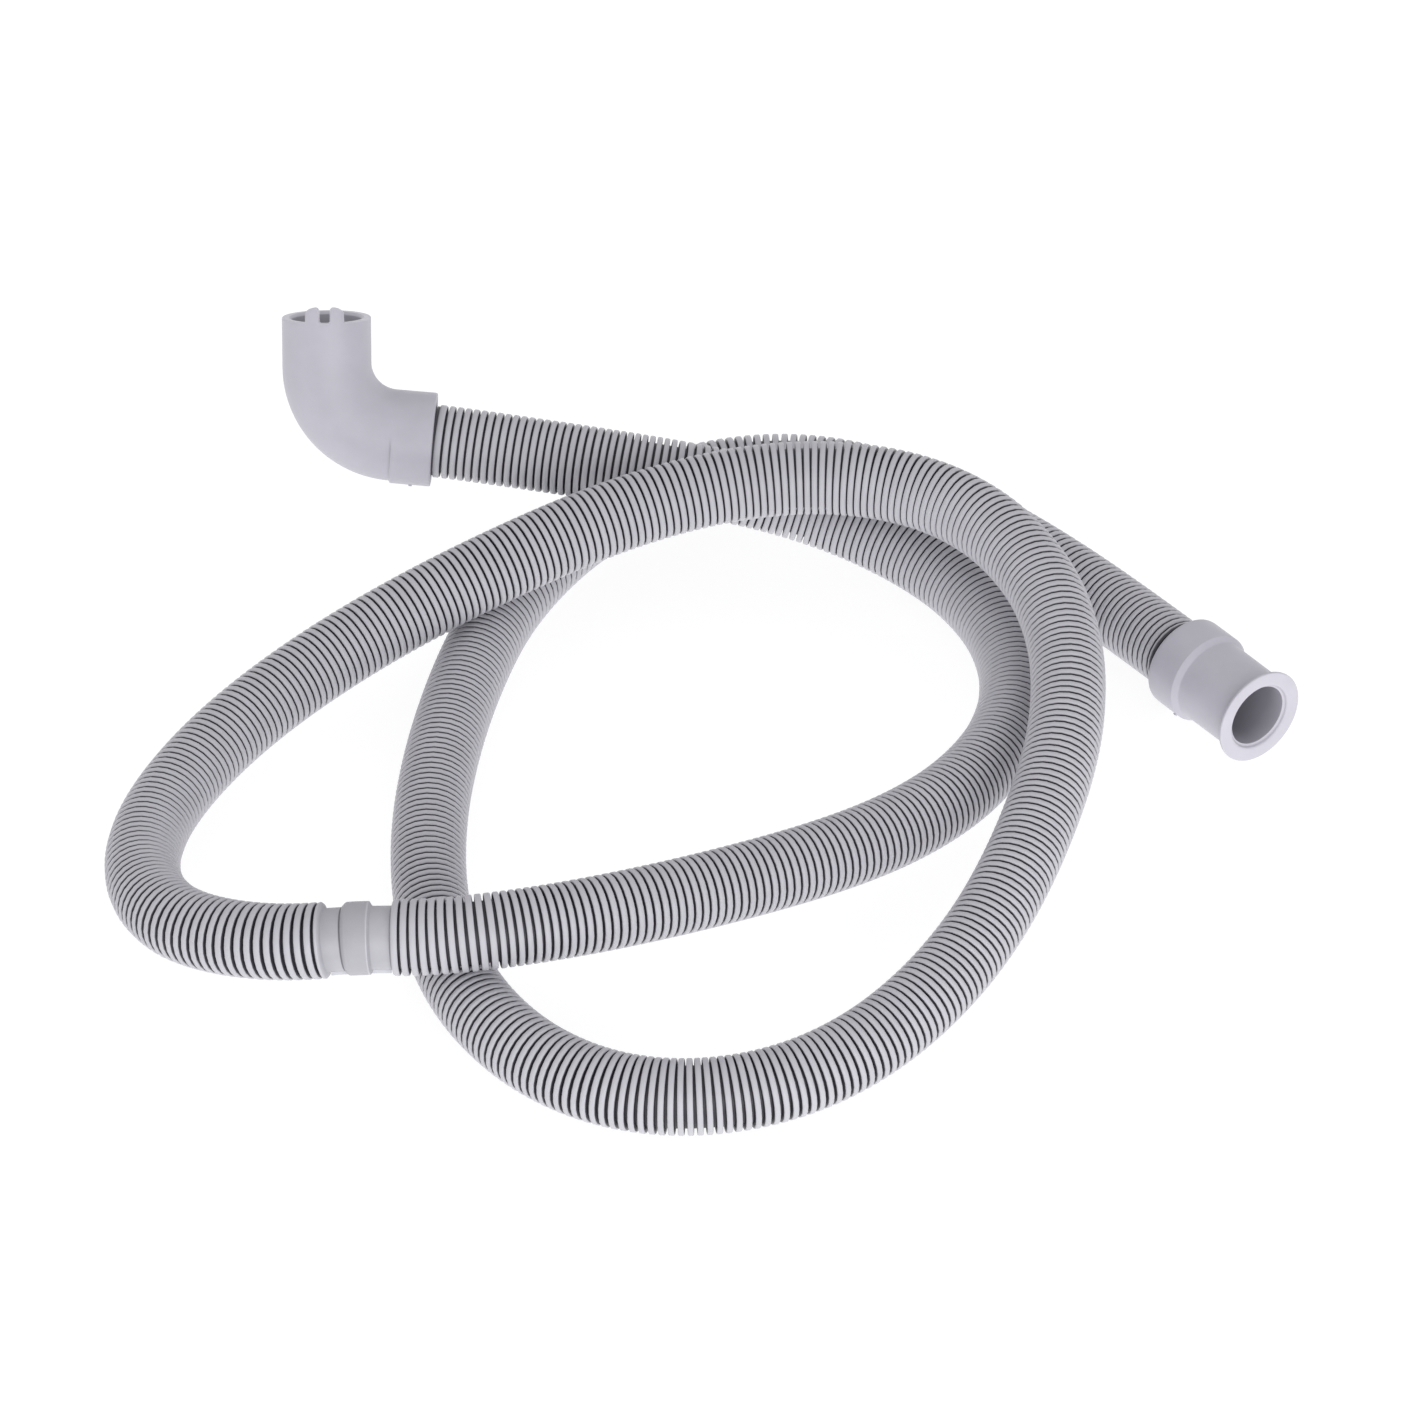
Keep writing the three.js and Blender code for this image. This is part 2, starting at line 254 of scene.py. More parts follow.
# Light: an even white world, a floor like a light table, and two soft boxes in front
WORLD_LIGHT = 0.85
FLOOR_SIZE = 6.0
FLOOR_LIGHT = 1.3  # what the floor sends to the object
FLOOR_GLOW = 0.86  # what the camera sees of it
FLOOR_SHADOW = 0.22  # how much of the object's shadow the camera sees on it
LAMPS = [  # (name, location, target, size, power)
    ("front", (0.9, -2.5, 0.45), (0, 0, 0.02), 1.8, 26),
    ("near_front", (0.05, -1.1, 0.2), (0, -0.1, 0), 0.8, 2.8),
]


def srgb(*values):
    """A linear colour from 8-bit display values."""
    v = np.array(values) / 255
    linear = np.where(v <= 0.04045, v / 12.92, ((v + 0.055) / 1.055) ** 2.4)
    return (*linear.tolist(), 1.0)


# Colours, and where they lie along the attributes
SHADE_LOW = -0.5  # at position 0 of the colour stops
SHADE_HIGH = 1.0  # at position 1
HIGHLIGHT_STOP = 0.0
PLAIN_STOP = 0.3333  # where the attributes are 0
GROOVE_STARTS_STOP = 0.42
GROOVE_STOP = 0.5
DARK_STOP = 1.0
HOSE_COLOR = srgb(178, 177, 184)
# A painted highlight, on the flash
HOSE_HIGHLIGHT_COLOR = srgb(205, 205, 212)
# Painted shade in the grooves and the creases, and on the ribs beside the straight fitting
GROOVE_SHADE_COLOR = srgb(64, 63, 70)
FITTING_COLOR = srgb(176, 174, 184)
# A painted highlight on the rims, the flange and its recess, and the gates' blocks
RIM_HIGHLIGHT_COLOR = srgb(208, 206, 215)
# Painted shade inside the elbow's mouth and the straight fitting's bore
INSIDE_SHADE_COLOR = srgb(84, 82, 92)


def add_camera():
    """A camera at the photograph's height and distance, aimed at the floor under the loops."""
    data = bpy.data.cameras.new("camera")
    data.sensor_width = SENSOR
    data.lens = SENSOR * FOCAL_SHARE
    data.clip_end = 20.0
    camera = bpy.data.objects.new("camera", data)
    away = np.array([0.0, -np.cos(CAMERA_ELEVATION), np.sin(CAMERA_ELEVATION)])
    camera.location = CAMERA_TARGET + CAMERA_DISTANCE * away
    camera.rotation_euler = (np.pi / 2 - CAMERA_ELEVATION, 0.0, 0.0)
    bpy.context.scene.collection.objects.link(camera)
    bpy.context.scene.camera = camera


def b_spline(controls, degree, samples):
    """Points on a clamped B-spline: the control points weighted by Cox and de Boor's basis functions."""
    count = len(controls)
    inner = count - degree
    knots = np.concatenate([np.zeros(degree), np.linspace(0, 1, inner + 1), np.ones(degree)])
    t = np.linspace(0, 1, samples)[:, None]
    basis = ((knots[:-1] <= t) & (t < knots[1:])).astype(float)
    basis[-1, count - 1] = 1.0
    for k in range(1, degree + 1):
        rise = knots[k:-1] - knots[: -k - 1]
        fall = knots[k + 1 :] - knots[1:-k]
        up = np.where(rise > 0, (t - knots[: -k - 1]) / np.where(rise > 0, rise, 1), 0)
        down = np.where(fall > 0, (knots[k + 1 :] - t) / np.where(fall > 0, fall, 1), 0)
        basis = up * basis[:, :-1] + down * basis[:, 1:]
    return basis @ np.asarray(controls, float)


def unit(vectors):
    """Vectors divided by their lengths."""
    return vectors / np.linalg.norm(vectors, axis=-1, keepdims=True)


class Route:
    """The hose's middle line, read by length in millimetres from the end in the elbow."""

    def __init__(self):
        self.points = b_spline(ROUTE, ROUTE_DEGREE, ROUTE_SAMPLES)
        steps = np.linalg.norm(np.diff(self.points, axis=0), axis=1)
        self.lengths = np.concatenate([[0.0], np.cumsum(steps)]) / MM
        self.length = self.lengths[-1]
        past = self.lengths - BAND_AT
        lift = BAND_LIFT * np.exp(-((past / BAND_LIFT_REACH) ** 2) / 2)
        tilt = BAND_TILT * past * np.exp(-((past / BAND_TILT_REACH) ** 2) / 2)
        picture_up = np.array([0, np.sin(CAMERA_ELEVATION), np.cos(CAMERA_ELEVATION)])
        to_camera = np.array([0, -np.cos(CAMERA_ELEVATION), np.sin(CAMERA_ELEVATION)])
        self.points = self.points + MM * (lift[:, None] * picture_up + tilt[:, None] * to_camera)
        self.tangents = unit(np.gradient(self.points, self.lengths, axis=0))

    def at(self, s):
        """Centres, tangents, sideways and upward directions at lengths s."""
        s = np.clip(np.asarray(s, float), 0, self.length)
        centre = np.stack([np.interp(s, self.lengths, self.points[:, i]) for i in range(3)], -1)
        tangent = unit(np.stack([np.interp(s, self.lengths, self.tangents[:, i]) for i in range(3)], -1))
        side = unit(np.cross(tangent, [0.0, 0.0, 1.0]))
        return centre, tangent, side, np.cross(side, tangent)


route = Route()


def mesh_object(name, vertices, faces, smooth=True, sharp_angle=None):
    """An object at the origin from one array of vertices and one of faces."""
    mesh = bpy.data.meshes.new(name)
    mesh.from_pydata(np.asarray(vertices).tolist(), [], np.asarray(faces).tolist())
    mesh.polygons.foreach_set("use_smooth", np.full(len(mesh.polygons), smooth))
    mesh.update()
    if sharp_angle is not None:
        mesh.set_sharp_from_angle(angle=np.radians(sharp_angle))
    obj = bpy.data.objects.new(name, mesh)
    bpy.context.scene.collection.objects.link(obj)
    return obj


def set_attribute(obj, name, values):
    """Stores one number per vertex under a name that a material can read."""
    attribute = obj.data.attributes.new(name, "FLOAT", "POINT")
    attribute.data.foreach_set("value", np.asarray(values, np.float32))


def ring_faces(rows, columns, ends_meet=True):
    """Quads of a tube of closed rings, one ring to a row, whose last ring may meet its first."""
    i, j = np.meshgrid(np.arange(rows if ends_meet else rows - 1), np.arange(columns), indexing="ij")
    i2 = (i + 1) % rows
    j2 = (j + 1) % columns
    corners = [i * columns + j, i * columns + j2, i2 * columns + j2, i2 * columns + j]
    return np.stack(corners, -1).reshape(-1, 4)


def outward(vertices, faces):
    """The faces, turned round if the closed surface that they make has a negative volume."""
    a, b, c, d = (vertices[faces[:, k]] for k in range(4))
    volume = np.sum(a * np.cross(b, c)) + np.sum(a * np.cross(c, d))
    return faces if volume > 0 else faces[:, ::-1]


def frame_at_end(s):
    """Origin and axes of a fitting on the hose at length s: +X is turned the shortest way to run along it."""
    centre, tangent, _, _ = route.at(s)
    x = np.array([1.0, 0.0, 0.0])
    axis = np.cross(x, tangent)
    cosine = float(x @ tangent)
    k = np.array([[0, -axis[2], axis[1]], [axis[2], 0, -axis[0]], [-axis[1], axis[0], 0]])
    return centre, np.eye(3) + k + k @ k / (1 + cosine)


def nub(foot, along, out):
    """A small block standing on a surface: its eight corners and its six faces, which look outward."""
    signs = np.array([(i, j, k) for i in (-1, 1) for j in (-1, 1) for k in (-1, 1)])
    corners = foot + (signs * NUB_SIZE / 2) @ np.stack([along, np.cross(out, along), out])
    faces = [(0, 1, 3, 2), (4, 6, 7, 5), (0, 4, 5, 1), (2, 3, 7, 6), (0, 2, 6, 4), (1, 5, 7, 3)]
    return corners, np.array(faces)


# Hose


def all_grooves(tenths, last_step):
    """Middles of all grooves of a stretch, evenly spaced between the ones that are listed."""
    marks = np.arange(len(tenths)) * GROOVES_TO_NEXT
    marks[-1] = marks[-2] + last_step
    return np.interp(np.arange(marks[-1] + 1), marks, tenths)


def rib_rows(grooves):
    """Rows of a run of ribs between grooves, as (anchor, offset along the tangent, radius): for each rib,
    anchored at its own middle, half the floor of the groove before it, its wall, its round top, its other
    wall and half the next floor."""
    middles = (grooves[:-1] + grooves[1:]) / 2
    pitch = np.diff(grooves)
    half = RIB_SHARE * pitch / 2
    floor = pitch / 2 - GROOVE_FLOOR / 2
    offsets = np.stack([-floor, -half, RIB_ROUND - half, half - RIB_ROUND, half, floor], -1)
    radii = np.array([GROOVE_R, SHOULDER_R, RIB_R, RIB_R, SHOULDER_R, GROOVE_R])
    anchors = np.repeat(middles, len(radii))
    return np.stack([anchors, offsets.ravel(), np.tile(radii, len(middles))], -1)


def plain_rows(profile):
    """Rows of a plain stretch from (length, radius) points: each is anchored at its own length."""
    profile = np.asarray(profile, float)
    return np.stack([profile[:, 0], np.zeros(len(profile)), profile[:, 1]], -1)


def start_profile():
    """The hose's end in the elbow, a plain ring beside the elbow and the first rib, as (length, radius)."""
    face = ELBOW_GRIP
    rib = face + STUB_LENGTH
    groove = GROOVES_TO_BAND[0] - GROOVE_FLOOR / 2
    return [
        (0, END_CUFF_R),
        (face, END_CUFF_R),
        (face + 0.1, STUB_R),
        (rib - 0.1, STUB_R),
        (rib + 0.1, RIB_R - 0.15),
        (rib + 0.4, RIB_R),
        (groove - 0.6, RIB_R),
        (groove - 0.15, SHOULDER_R),
        (groove, GROOVE_R),
    ]


def band_profile():
    """The band between its two cuffs, and the two ribs that join the cuffs, as (length, radius)."""
    before = GROOVES_TO_BAND[-1] + GROOVE_FLOOR / 2
    after = GROOVES_FROM_BAND[0] - GROOVE_FLOOR / 2
    start = BAND_AT - BAND_LENGTH / 2
    end = BAND_AT + BAND_LENGTH / 2
    return [
        (before, GROOVE_R),
        (before + 0.15, SHOULDER_R),
        (before + 0.5, RIB_R - 0.05),
        (CUFF_START - 1.1, RIB_R - 0.1),
        (CUFF_START - 0.5, RIB_R - 0.5),
        (CUFF_START - 0.3, RIB_R - 1.0),
        (CUFF_START - 0.1, CUFF_R + 0.15),
        (CUFF_START + 0.1, CUFF_R),
        (CUFF_START + 0.3, CUFF_R),
        (start - 0.1, CUFF_R),
        (start, CUFF_R + 0.1),
        (start + BAND_BEVEL_BEFORE - 0.1, BAND_R - 0.2),
        (start + BAND_BEVEL_BEFORE, BAND_R - 0.06),
        (start + BAND_BEVEL_BEFORE + 0.2, BAND_R),
        (start + BAND_BEVEL_BEFORE + 0.45, BAND_R),
        (BAND_AT, BAND_R + 0.02),
        (end - BAND_BEVEL_AFTER - 0.3, BAND_R),
        (end - BAND_BEVEL_AFTER, BAND_R - 0.15),
        (end - 0.35, CUFF_R + 0.5),
        (end - 0.15, CUFF_R + 0.2),
        (end, CUFF_R - 0.1),
        (end + 0.2, CUFF_R - 0.05),
        (end + 0.45, CUFF_R),
        (CUFF_END - 0.1, CUFF_R),
        (CUFF_END + 0.1, CUFF_R + 0.3),
        (CUFF_END + 0.45, RIB_R - 0.6),
        (CUFF_END + 0.9, RIB_R - 0.1),
        (after - 0.5, RIB_R),
        (after - 0.15, SHOULDER_R),
        (after, GROOVE_R),
    ]


def end_profile():
    """The last rib, against the straight fitting, and the hose's end in the fitting, as (length, radius)."""
    groove = GROOVES_FROM_BAND[-1] + GROOVE_FLOOR / 2
    face = route.length - FITTING_GRIP
    return [
        (groove, GROOVE_R),
        (groove + 0.15, SHOULDER_R),
        (groove + 0.55, RIB_R),
        (face - 0.4, RIB_R),
        (face - 0.1, RIB_R - 0.3),
        (face, END_CUFF_R),
        (route.length, END_CUFF_R),
    ]


def hose_rows():
    """All rows from the end in the elbow to the end in the straight fitting, then back through the bore."""
    bore = np.linspace(route.length, 0, BORE_RINGS)
    return np.concatenate(
        [
            plain_rows(start_profile()),
            rib_rows(all_grooves(GROOVES_TO_BAND, LAST_STEP_TO_BAND)),
            plain_rows(band_profile()),
            rib_rows(all_grooves(GROOVES_FROM_BAND, LAST_STEP_FROM_BAND)),
            plain_rows(end_profile()),
            plain_rows(np.stack([bore, np.full(BORE_RINGS, BORE_R)], -1)),
        ]
    )


def flash_grid():
    """Vertices and faces of the fin along the cuffs and the band: four corners every half millimetre, at
    radius r in the direction of its angle, and half its thickness to either side of it."""
    s = np.arange(CUFF_START + 0.4, CUFF_END - 0.3, 0.5)
    centre, _, side, up = route.at(s)
    angle = np.radians(FLASH_ANGLE)
    outward_way = side * np.cos(angle) + up * np.sin(angle)
    across = up * np.cos(angle) - side * np.sin(angle)
    corners = [(CUFF_R - 1, -1), (CUFF_R - 1, 1), (FLASH_R, 1), (FLASH_R, -1)]
    edges = [centre + MM * (r * outward_way + FLASH_THICKNESS / 2 * k * across) for r, k in corners]
    vertices = np.stack(edges, 1).reshape(-1, 3)
    last = 4 * (len(s) - 1)
    caps = [[3, 2, 1, 0], [last, last + 1, last + 2, last + 3]]
    faces = np.concatenate([ring_faces(len(s), 4, ends_meet=False), caps])
    return vertices, outward(vertices, faces)


def hose_depth(rows):
    """The depth attribute of each row: how far its radius is below the ribs', up to 1 in the grooves, which
    become painted shade; values of their own on the band and the cuffs; painted shade in the creases; a
    painted highlight along the band's edge; and a painted shadow on the last ribs beside the straight
    fitting."""
    length, offset, radius = rows.T
    outside = radius > BORE_R
    depth = np.clip((RIB_R - radius) / (RIB_R - GROOVE_R), 0, 1)
    at_cuff = outside & (length > CUFF_START - 0.6) & (length < CUFF_END + 1)
    on_band = np.abs(length - BAND_AT) < BAND_LENGTH / 2
    depth = np.where(at_cuff, np.where(on_band, BAND_SHADE, CUFF_SHADE), depth)
    for place, half, shade in BAND_LINES:
        depth = np.where(outside & (np.abs(length - place) < half), shade, depth)
    start = route.length - FITTING_GRIP - NEAR_FITTING_REACH
    near_fitting = np.clip((length + offset - start) / NEAR_FITTING_FADE, 0, 1) * NEAR_FITTING_SHADE
    return np.maximum(depth, np.where(outside, near_fitting, 0))


def make_hose():
    """The hose as one closed grid: centre + offset * tangent + radius * (side * cos a + up * sin a), with the
    centre and directions taken at a rib's own middle, so that it stays flat and keeps its width. The flash is
    a block of its own in the same mesh."""
    rows = hose_rows()
    centre, tangent, side, up = route.at(rows[:, 0])
    angle = np.linspace(0, 2 * np.pi, HOSE_SIDES, endpoint=False)
    ring = side[:, None] * np.cos(angle)[:, None] + up[:, None] * np.sin(angle)[:, None]
    vertices = (
        centre[:, None]
        + tangent[:, None] * rows[:, 1, None, None] * MM
        + ring * rows[:, 2, None, None] * MM
    ).reshape(-1, 3)
    faces = outward(vertices, ring_faces(len(rows), HOSE_SIDES))
    flash_vertices, flash_faces = flash_grid()
    hose = mesh_object(
        "ribbed_hose",
        np.concatenate([vertices, flash_vertices]),
        np.concatenate([faces, flash_faces + len(vertices)]),
        sharp_angle=62,
    )
    depth = np.repeat(hose_depth(rows), HOSE_SIDES)
    values = np.concatenate([depth, np.full(len(flash_vertices), FLASH_PAINTED_HIGHLIGHT)])
    set_attribute(hose, "depth", values)
    return hose


# Elbow


def elbow_line(s):
    """Centres and inner-side directions of the elbow's middle line in its XZ plane, at lengths s from the
    socket's face: along -X, then a bend up towards the leg, then straight to the rim."""
    turn = np.radians(ELBOW_TURN)
    tangent_length = ELBOW_BEND_R * np.tan(turn / 2)
    straight = ELBOW_SOCKET - tangent_length
    angle = np.clip((s - straight) / ELBOW_BEND_R, 0, turn)
    before = np.minimum(s, straight)
    after = np.maximum(s - straight - ELBOW_BEND_R * turn, 0)
    x = -before - ELBOW_BEND_R * np.sin(angle) - after * np.cos(turn)
    z = ELBOW_BEND_R * (1 - np.cos(angle)) + after * np.sin(turn)
    zero = np.zeros_like(angle)
    return np.stack([x, zero, z], -1), np.stack([np.sin(angle), zero, np.cos(angle)], -1)


def elbow_length():
    """Length of the elbow's middle line from the socket's face to the rim."""
    turn = np.radians(ELBOW_TURN)
    return ELBOW_SOCKET + ELBOW_LEG - 2 * ELBOW_BEND_R * np.tan(turn / 2) + ELBOW_BEND_R * turn


def ear_height(w):
    """Height of the rim over its plane at a distance w sideways from the slot's middle: nothing at the slot
    and beyond the ears, with small fillets, and between them an ear's round top, higher beside the slot."""
    d = np.abs(w) - SLOT_HALF
    far_across, far_down = EAR_FAR_ROUND
    near = np.clip(1 - d / EAR_NEAR_ROUND, 0, 1)
    far = np.clip((d - (EAR_WIDTH - far_across)) / far_across, 0, 1)
    top = EAR_RISE - EAR_NEAR_ROUND * (1 - np.sqrt(1 - near**2)) - far_down * (1 - np.sqrt(1 - far**2))
    in_slot = np.clip(1 + d / SLOT_FILLET, 0, 1)
    slot = SLOT_FILLET * (1 - np.sqrt(1 - in_slot**2))
    past_foot = np.clip(1 - (d - EAR_WIDTH) / EAR_FOOT_FILLET, 0, 1)
    outer = EAR_FOOT_FILLET * (1 - np.sqrt(1 - past_foot**2))
    on_ear = (d >= 0) & (d <= EAR_WIDTH)
    return np.where(on_ear, top, np.where(d < 0, slot, outer))


def elbow_angles():
    """Angles round the elbow, from its inner side: even ones, and close ones at the edges of the ears."""
    even = np.linspace(0, 2 * np.pi, ELBOW_SIDES, endpoint=False)
    steps = np.array([0.03, 0.15, 0.3, 0.5, 0.8, 1.2, 1.6])
    near_edge = np.concatenate([-steps[::-1], steps])
    inner = SLOT_HALF + near_edge
    outer = SLOT_HALF + EAR_WIDTH + near_edge
    w = EAR_OFFSET + np.concatenate([inner, -inner, outer, -outer])
    ears = np.arccos(w / ELBOW_R)
    low, high = ears.min(), ears.max()
    return np.sort(np.concatenate([even[(even < low - 0.02) | (even > high + 0.02)], ears]))


def smooth_step(x):
    """Goes from 0 to 1 with level ends as x does."""
    x = np.clip(x, 0, 1)
    return x * x * (3 - 2 * x)


def arc(start, corner, end, steps=4):
    """Points of a round corner from start to end, bulging towards corner: a quadratic curve."""
    t = np.linspace(0, 1, steps + 1)[:, None]
    start, corner, end = (np.asarray(p, float) for p in (start, corner, end))
    return (1 - t) ** 2 * start + 2 * t * (1 - t) * corner + t**2 * end


def corner_radius(s):
    """How far the outside is from the middle line, towards the inner side of the bend, at lengths s: the
    sides of the collar and the leg are straight, with a fillet of CORNER_FILLET between them."""
    turn = np.radians(ELBOW_TURN)
    centre, inner = elbow_line(s)
    centre, inner = centre[:, [0, 2]], inner[:, [0, 2]]
    knee = np.array([-ELBOW_SOCKET, 0.0])
    leg_out = np.array([np.sin(turn), np.cos(turn)])
    leg_way = np.array([-np.cos(turn), np.sin(turn)])
    to_collar_side = (COLLAR_R - centre[:, 1]) / inner[:, 1]
    to_leg_side = (ELBOW_R - (centre - knee) @ leg_out) / (inner @ leg_out)
    high = COLLAR_R + CORNER_FILLET
    middle = np.array([(ELBOW_R + CORNER_FILLET - high * leg_out[1]) / leg_out[0] - ELBOW_SOCKET, high])
    away = middle - centre
    along = np.sum(away * inner, -1)
    inside = CORNER_FILLET**2 - np.sum(away**2, -1) + along**2
    to_fillet = along - np.sqrt(np.maximum(inside, 0))
    hit = centre + to_fillet[:, None] * inner
    on_fillet = (inside > 0) & (hit[:, 0] < middle[0]) & ((hit - middle) @ leg_way < 0)
    return np.where(on_fillet, to_fillet, np.maximum(to_collar_side, to_leg_side))


def elbow_rows(angle):
    """Length and radius of every vertex of the elbow, row by row: out along the socket's collar and the bend
    to the rim with its ears, and back through the mouth, the waterway and the socket."""
    total = elbow_length()
    face = arc((0, COLLAR_R - COLLAR_ROUND), (0, COLLAR_R), (COLLAR_ROUND, COLLAR_R))
    outside = np.concatenate(
        [
            np.linspace(1.5, COLLAR_LENGTH - 0.6, 6),
            np.linspace(COLLAR_LENGTH - 0.3, COLLAR_LENGTH + 1.2, 10),
            np.linspace(COLLAR_LENGTH + 2, total - 1.2, 60),
        ]
    )
    # The collar drops sharply to the body on the outer side of the bend and fades into it on the inner side,
    # where the corner's fillet takes over
    width = 0.8 + 13 * smooth_step((np.cos(angle) + 0.1) / 0.8)
    drop = smooth_step((outside[:, None] - COLLAR_LENGTH) / width)
    out_r = COLLAR_R - (COLLAR_R - ELBOW_R) * drop
    swell = corner_radius(outside) - out_r[:, 0]
    out_r = out_r + swell[:, None] * np.maximum(np.cos(angle), 0) ** 1.5
    h = ear_height(ELBOW_R * np.cos(angle) - EAR_OFFSET) * (np.sin(angle) > 0)
    level = np.zeros_like(h)
    rim = [
        (ELBOW_R, h - 0.45),
        (ELBOW_R - 0.08, h - 0.18),
        (ELBOW_R - 0.28, h - 0.03),
        (ELBOW_R - 0.5, h),
        (EAR_INNER_R + 0.4, h),
        (EAR_INNER_R + 0.12, h - 0.1),
        (EAR_INNER_R, h - 0.35),
        (EAR_INNER_R - 0.02, level - 0.38),
        (MOUTH_R + 0.15, level - 0.85),
        (MOUTH_R, level - 1.3),
    ]
    waterway_start = total - MOUTH_DEPTH
    inside = [
        (waterway_start + 0.6, MOUTH_R),
        (waterway_start + 0.1, MOUTH_R - 0.4),
        (waterway_start, WATERWAY_R + 0.5),
        (waterway_start - 0.5, WATERWAY_R),
        *((x, WATERWAY_R) for x in np.linspace(waterway_start - 2, ELBOW_GRIP + 1, 20)),
        (ELBOW_GRIP + 0.3, WATERWAY_R),
        (ELBOW_GRIP + 0.3, SOCKET_R),
        (0.6, SOCKET_R),
        (0, SOCKET_R + 0.4),
    ]

    def rings(values):
        """One value to a ring, the same all the way round."""
        return np.repeat(np.asarray(values, float)[:, None], len(angle), axis=1)

    rim_r, rim_s = zip(*rim)
    inside_s, inside_r = zip(*inside)
    s = [rings(face[:, 0]), rings(outside), total + np.stack(rim_s), rings(inside_s)]
    r = [rings(face[:, 1]), out_r, rings(rim_r), rings(inside_r)]
    return np.concatenate(s), np.concatenate(r)


def elbow_shade(s, r, angle):
    """The shade attribute of each vertex of the elbow: painted shade inside the mouth, a soft line of painted
    shade along the step at the collar's foot on the outer side, a painted highlight round the rim."""
    total = elbow_length()
    deeper = smooth_step((total - s) / MOUTH_SHADE_REACH)
    shade = np.where(r < MOUTH_R + 0.02, MOUTH_SHADE + MOUTH_SHADE_MORE * deeper, 0)
    side = smooth_step((0.25 - np.cos(angle)) / 0.5) * smooth_step((np.cos(angle) + 0.98) / 0.3)
    step = np.exp(-(((s - COLLAR_LENGTH - 0.5) / 0.45) ** 2)) * side * STEP_SHADE
    beside_collar = (r > ELBOW_R - 0.1) & (s < COLLAR_LENGTH + 5.7)
    shade = np.where(beside_collar, step, shade)
    edge = (r > MOUTH_R + 0.1) & (r < ELBOW_R - 0.05) & (s > total - 1)
    return np.where(edge, RIM_PAINTED_HIGHLIGHT, shade)


def make_elbow():
    """The elbow as one closed grid: centre(s) + r * (inner direction * cos a - Y * sin a), rolled about the
    socket's axis and carried to the hose's end, with the block of its gate."""
    angle = elbow_angles()
    s, r = elbow_rows(angle)
    centre, inner = elbow_line(s)
    lateral = np.array([0.0, -1.0, 0.0])
    local = centre + r[..., None] * (inner * np.cos(angle)[:, None] + lateral * np.sin(angle)[:, None])
    roll = np.radians(ELBOW_ROLL)
    turn = np.array([[1, 0, 0], [0, np.cos(roll), -np.sin(roll)], [0, np.sin(roll), np.cos(roll)]])
    origin, axes = frame_at_end(0)
    out = np.array([0, -np.sin(ELBOW_NUB_ANGLE), np.cos(ELBOW_NUB_ANGLE)])
    foot = np.array([-ELBOW_NUB_AT, 0, 0]) + COLLAR_R * out
    nub_corners, nub_faces = nub(foot, np.array([-1.0, 0, 0]), out)
    local = np.concatenate([local.reshape(-1, 3), nub_corners]) @ turn.T + np.array([ELBOW_GRIP, 0, 0])
    vertices = origin + (local * MM) @ axes.T
    faces = outward(vertices, ring_faces(*s.shape))
    faces = np.concatenate([faces, nub_faces + s.size])
    elbow = mesh_object("moulded_elbow", vertices, faces, sharp_angle=50)
    shade = elbow_shade(s, r, angle).ravel()
    shade = np.concatenate([shade, np.full(len(nub_corners), ELBOW_NUB_PAINTED_LIGHT)])
    set_attribute(elbow, "shade", shade)
    return elbow


# Straight fitting


def fitting_profile():
    """The fitting's closed section as (length, radius): sleeve, bevel, body, neck fillet, flange, lip, bore
    and socket."""
    step = SLEEVE_LENGTH
    foot = SLEEVE_LENGTH + SLEEVE_BEVEL
    face = FITTING_LENGTH
    back = face - FLANGE_THICKNESS
    body = np.linspace(BODY_START + 1, back - NECK_FILLET, 8)
    taper = BODY_R + (NECK_R - BODY_R) * (body - BODY_START) / (back - BODY_START)
    lip = face - LIP_DEPTH
    bore = FITTING_BORE_R
    socket = FITTING_GRIP + 0.3
    return np.concatenate(
        [
            arc((0, SLEEVE_R - SLEEVE_ROUND), (0, SLEEVE_R), (SLEEVE_ROUND, SLEEVE_R), 6),
            [(s, SLEEVE_R) for s in np.linspace(3, step - 0.4, 8)],
            arc((step - 0.15, SLEEVE_R), (step, SLEEVE_R), (step + 0.15, SLEEVE_R - 0.12), 2),
            arc((foot - 0.2, BODY_R + 0.16), (foot, BODY_R), (foot + 0.3, BODY_R - 0.01), 2),
            np.stack([body, taper], -1),
            arc((back - NECK_FILLET + 0.3, NECK_R), (back + 0.1, NECK_R), (back + 0.3, FLANGE_R - 0.5), 6),
            arc((back + 0.4, FLANGE_R - 0.3), (back + 0.6, FLANGE_R), (back + 1.0, FLANGE_R), 3),
            arc((face - FLANGE_ROUND, FLANGE_R), (face, FLANGE_R), (face, FLANGE_R - FLANGE_ROUND), 5),
            arc((face, LIP_R + LIP_ROUND), (face, LIP_R), (face - 0.8, LIP_R - 0.15), 5),
            arc((face - 0.9, LIP_R - 0.17), (lip, LIP_R - 0.4), (lip - 0.1, bore + 0.15), 4),
            arc((lip - 0.1, bore + 0.1), (lip - 0.15, bore), (lip - 0.35, bore), 2),
            [(s, bore) for s in np.linspace(lip - 1, socket + 0.3, 8)],
            [(socket, bore), (socket, SOCKET_R), (0.5, SOCKET_R), (0, SOCKET_R + 0.4)],
        ]
    )


